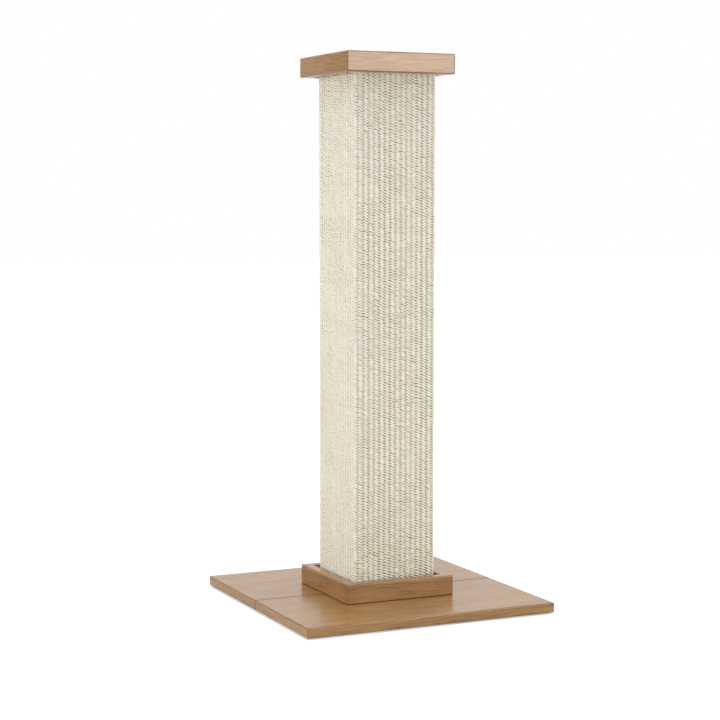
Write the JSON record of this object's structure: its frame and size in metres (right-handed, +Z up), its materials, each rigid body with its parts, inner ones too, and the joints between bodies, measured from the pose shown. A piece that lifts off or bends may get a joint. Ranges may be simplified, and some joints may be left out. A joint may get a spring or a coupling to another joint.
{
  "type": "cat scratching post",
  "caption": "Free-standing square scratching post wrapped in ribbed woven sisal, with a low wood collar at its foot, a matching flat wood cap and a square board base.",
  "frame": {"origin": "on the floor, under the centre of the square base", "axes": "+Z up along the post; X along the joint between the two base boards; -Y towards the front of the post, with the mat's seam on the +Y side"},
  "size_m": [0.4, 0.4, 0.83],
  "materials": {
    "laminate": "warm light-brown wood-pattern laminate, satin sheen",
    "raw_board": "plain sanded board, matte",
    "dowel_wood": "pale turned hardwood",
    "sisal": "cream woven sisal with upright ribs, matte",
    "zinc_steel": "zinc-plated steel",
    "pad_rubber": "matte dark foam rubber"
  },
  "bodies": {
    "root": {"base_board_front": "laminate", "base_board_rear": "laminate", "base_bolts": "zinc_steel", "base_dowels": "dowel_wood", "base_washers": "zinc_steel", "cap_backing_board": "raw_board", "cap_dowels": "dowel_wood", "cap_rail_front": "laminate", "cap_rail_left": "laminate", "cap_rail_rear": "laminate", "cap_rail_right": "laminate", "cap_screws": "zinc_steel", "cap_top_panel": "laminate", "collar_backing_board": "raw_board", "collar_dowels": "dowel_wood", "collar_rail_front": "laminate", "collar_rail_left": "laminate", "collar_rail_rear": "laminate", "collar_rail_right": "laminate", "core_board_front": "raw_board", "core_board_left": "raw_board", "core_board_rear": "raw_board", "core_board_right": "raw_board", "core_screws": "zinc_steel", "foot_block": "raw_board", "foot_block_screws": "zinc_steel", "foot_pads": "pad_rubber", "foot_staples": "zinc_steel", "head_block": "raw_board", "head_block_screws": "zinc_steel", "head_staples": "zinc_steel", "seam_staples": "zinc_steel", "sisal_mat": "sisal", "threaded_inserts": "zinc_steel"}
  },
  "joints": []
}
